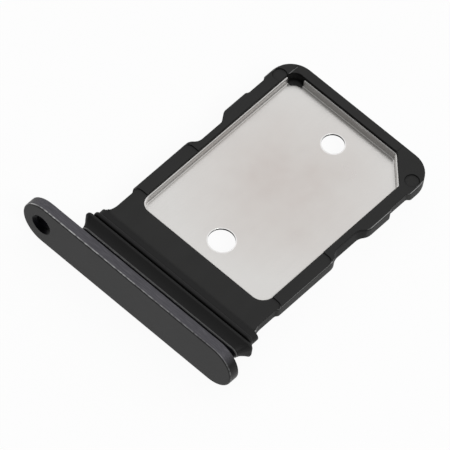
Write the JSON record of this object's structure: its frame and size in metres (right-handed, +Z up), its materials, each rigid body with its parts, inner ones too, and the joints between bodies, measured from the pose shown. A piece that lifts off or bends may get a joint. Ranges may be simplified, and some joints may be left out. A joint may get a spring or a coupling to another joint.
{
  "type": "sim card tray",
  "caption": "Slide-in card tray for a phone: slim face plate with eject hole, double-lip rubber seal, moulded carrier frame with detent rails, and a steel pan that seats one keyed card.",
  "frame": {"origin": "under the middle of the tray's bounding box, level with the face plate's lowest edge", "axes": "+Y is the way the tray slides into the phone, +Z is up out of the open card pocket, X runs along the face plate with the eject hole towards -X"},
  "size_m": [0.0154, 0.0182, 0.003],
  "materials": {
    "anodised_plate": "fine-blasted dark grey anodising with a bright front edge",
    "seal_rubber": "smooth black moulded rubber",
    "frame_plastic": "fine-textured black glass-filled plastic",
    "pan_steel": "satin rolled stainless sheet"
  },
  "bodies": {
    "root": {"face_plate": "anodised_plate", "seal_ring": "seal_rubber", "carrier_frame": "frame_plastic", "card_pan": "pan_steel"}
  },
  "joints": []
}
